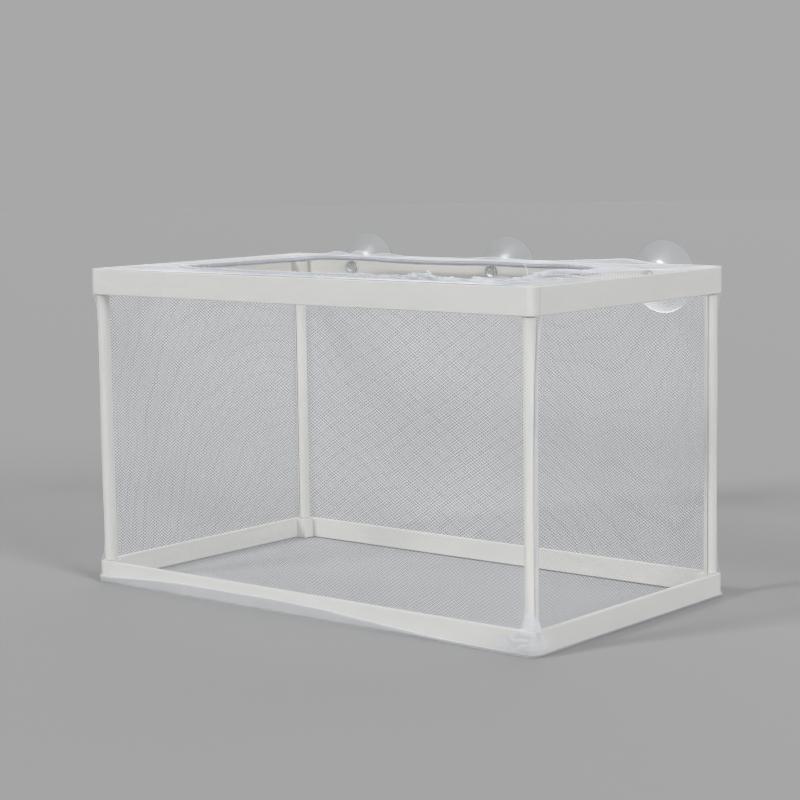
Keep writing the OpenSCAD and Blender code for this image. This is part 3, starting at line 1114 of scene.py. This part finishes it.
room = bpy.data.worlds.new("room")
bpy.context.scene.world = room
room.use_nodes = True
tree = room.node_tree
lighting = tree.nodes["Background"]
lighting.inputs["Color"].default_value = ROOM_TINT
lighting.inputs["Strength"].default_value = ROOM_LIGHT
seen = add(tree, "Background", values=[("Color", (ROOM_GREY, ROOM_GREY, ROOM_GREY, 1))])
rays = add(tree, "LightPath").outputs
by_eye = rays["Is Camera Ray"]
for way in ("Is Glossy Ray", "Is Transmission Ray"):
    by_eye = add(tree, "Math", [("operation", "MAXIMUM")], i0=by_eye, i1=rays[way]).outputs[0]
choose = add(tree, "MixShader", Fac=by_eye, i1=lighting.outputs[0], i2=seen.outputs[0])
tree.links.new(choose.outputs[0], tree.nodes["World Output"].inputs["Surface"])
bpy.context.scene.view_settings.view_transform = "Standard"
print("stage:", STAGE_SIZE, "m of table")

# %% [markdown]
# ## Shared effects
# Two effects are used by several finishes, so each is a node group. Moulded
# plastic has a faint mottle, streaks where it flowed along the mould, and a fine
# grain. Thread is twisted and a little fuzzy. Each group gives a tone from 0 to
# 1 for colour and roughness, and a height for the bump.


# %% Make a helper for node groups
def new_group(name, inputs):
    """A shader group with these inputs and the outputs Tone and Relief."""
    group = bpy.data.node_groups.new(name, "ShaderNodeTree")
    for socket, kind, value in inputs:
        made = group.interface.new_socket(name=socket, in_out="INPUT", socket_type=kind)
        if value is not None:
            made.default_value = value
    for socket in ("Tone", "Relief"):
        group.interface.new_socket(name=socket, in_out="OUTPUT", socket_type="NodeSocketFloat")
    return group, group.nodes.new("NodeGroupInput"), group.nodes.new("NodeGroupOutput")


# %% Moulded plastic
moulded, given, result = new_group("moulded_surface", [
    ("Place", "NodeSocketVector", None),
    ("Grain Size", "NodeSocketFloat", 1400.0),
    ("Streak Size", "NodeSocketFloat", 420.0),
])
mottle = add(moulded, "TexNoise", values=[("Scale", 55), ("Detail", 3)], Vector=given.outputs["Place"])
streaks = add(
    moulded, "TexNoise", values=[("Detail", 2), ("Roughness", 0.6)],
    Vector=given.outputs["Place"], Scale=given.outputs["Streak Size"],
)
grain = add(
    moulded, "TexNoise", values=[("Detail", 1)],
    Vector=given.outputs["Place"], Scale=given.outputs["Grain Size"],
)
tone = add(moulded, "Mix", values=[("Factor", 0.45)], A=mottle.outputs["Fac"], B=streaks.outputs["Fac"])
relief = add(moulded, "Mix", values=[("Factor", 0.5)], A=streaks.outputs["Fac"], B=grain.outputs["Fac"])
moulded.links.new(tone.outputs["Result"], result.inputs["Tone"])
moulded.links.new(relief.outputs["Result"], result.inputs["Relief"])

# %% Twisted thread
spun, given, result = new_group("spun_thread", [
    ("Place", "NodeSocketVector", None),
    ("Twist Size", "NodeSocketFloat", 900.0),
])
twist = add(
    spun, "TexWave", [("bands_direction", "DIAGONAL")], [("Distortion", 1.5), ("Detail", 1)],
    Vector=given.outputs["Place"], Scale=given.outputs["Twist Size"],
)
lint = add(spun, "TexNoise", values=[("Scale", 260), ("Detail", 4)], Vector=given.outputs["Place"])
cloudy = add(spun, "TexNoise", values=[("Scale", 38), ("Detail", 2)], Vector=given.outputs["Place"])
tone = add(spun, "Mix", values=[("Factor", 0.5)], A=lint.outputs["Fac"], B=cloudy.outputs["Fac"])
relief = add(spun, "Mix", values=[("Factor", 0.35)], A=twist.outputs["Fac"], B=lint.outputs["Fac"])
spun.links.new(tone.outputs["Result"], result.inputs["Tone"])
spun.links.new(relief.outputs["Result"], result.inputs["Relief"])
print("groups:", [group.name for group in bpy.data.node_groups])

# %% [markdown]
# ## Finishes
# Every finish is built the same way: its shared group drives the base colour,
# the roughness and a fine bump. The effects' tones lie mostly between 0.3 and
# 0.7, so that range is spread over the two colours. What is the same all over,
# such as sheen or transmission, is set on the shader itself.


# %% Make the finishes
TONES = (0.3, 0.7)


def wear(piece, material):
    piece.data.materials.clear()
    piece.data.materials.append(material)


def finish(name, group, sizes, colours, rough, bump, stretch=None, shader_values=()):
    """A material from a shared group. bump is its strength and distance."""
    material = bpy.data.materials.new(name)
    material.use_nodes = True
    tree = material.node_tree
    shader = tree.nodes["Principled BSDF"]
    for socket, value in shader_values:
        shader.inputs[socket].default_value = value
    place = add(tree, "TexCoord").outputs["Object"]
    if stretch:
        place = add(tree, "Mapping", values=[("Scale", stretch)], Vector=place).outputs["Vector"]
    effect = tree.nodes.new("ShaderNodeGroup")
    effect.node_tree = group
    for socket, value in sizes:
        effect.inputs[socket].default_value = value
    tree.links.new(place, effect.inputs["Place"])
    ramp = add(tree, "ValToRGB", Fac=effect.outputs["Tone"])
    for stop, (at, colour) in zip(ramp.color_ramp.elements, zip(TONES, colours)):
        stop.position = at
        stop.color = (*colour, 1)
    tree.links.new(ramp.outputs["Color"], shader.inputs["Base Color"])
    gloss = add(
        tree, "MapRange",
        values=[
            ("From Min", TONES[0]), ("From Max", TONES[1]), ("To Min", rough[0]), ("To Max", rough[1]),
        ],
        Value=effect.outputs["Tone"],
    )
    tree.links.new(gloss.outputs["Result"], shader.inputs["Roughness"])
    bumps = add(
        tree, "Bump", values=[("Strength", bump[0]), ("Distance", bump[1])],
        Height=effect.outputs["Relief"],
    )
    tree.links.new(bumps.outputs["Normal"], shader.inputs["Normal"])
    return material


WHITE_PLASTIC = [(0.71, 0.7, 0.66), (0.77, 0.76, 0.725)]
FLOW = {"x": (0.12, 1, 1), "y": (1, 0.12, 1), "z": (1, 1, 0.12), "block": (1, 1, 0.6)}
plastics = {
    way: finish("white_plastic_" + way, moulded, [], WHITE_PLASTIC, (0.34, 0.46), (0.25, 0.05 * MM), scale)
    for way, scale in FLOW.items()
}
net_finish = finish(
    "net_thread", spun, [("Twist Size", 900)], [(0.77, 0.79, 0.835), (0.87, 0.89, 0.93)],
    (0.36, 0.5), (0.4, 0.03 * MM), None, [("Sheen Weight", 0.15)],
)
sewing_finish = finish(
    "sewing_thread", spun, [("Twist Size", 1400)], [(0.77, 0.79, 0.83), (0.87, 0.89, 0.92)],
    (0.42, 0.55), (0.5, 0.04 * MM), None, [("Sheen Weight", 0.25)],
)
# The elastic's cover is coloured dark grey as painted shade: it stands for the shade inside the casing,
# which shows through the casing's holes.
elastic_painted_shade = finish(
    "elastic_cover_painted_shade", spun, [("Twist Size", 500)], [(0.34, 0.35, 0.39), (0.46, 0.47, 0.51)],
    (0.55, 0.7), (0.6, 0.06 * MM),
)
vinyl = finish(
    "clear_vinyl", moulded, [("Streak Size", 60), ("Grain Size", 500)],
    [(0.9, 0.93, 0.935), (0.96, 0.98, 0.985)], (0.2, 0.28), (0.04, 0.05 * MM), None,
    [("Transmission Weight", 0.95), ("IOR", 1.38)],
)
table_finish = finish(
    "plain_table", moulded, [("Streak Size", 8), ("Grain Size", 90)],
    [(TABLE_GREY, TABLE_GREY, TABLE_GREY)] * 2, (0.85, 0.95), (0.02, 0.05 * MM), None,
    [("Specular IOR Level", 0.1)],
)

# %% Put the finishes on
for piece in [*walls, bag_floor, collar, casing, frill, corner_fold, floor_edge]:
    wear(piece, net_finish)
for piece in (floor_winding, corner_winding, hem_stitches, hem_ends):
    wear(piece, sewing_finish)
wear(elastic, elastic_painted_shade)
wear(table_top, table_finish)
for name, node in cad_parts.items():
    if name.startswith("suction"):
        wear(node, vinyl)
    elif name.startswith("post"):
        wear(node, plastics["z"])
    elif name.endswith(("_rail_front", "_rail_back")):
        wear(node, plastics["x"])
    elif name.endswith(("_rail_left", "_rail_right")):
        wear(node, plastics["y"])
    else:
        wear(node, plastics["block"])
print("finishes:", len(bpy.data.materials))
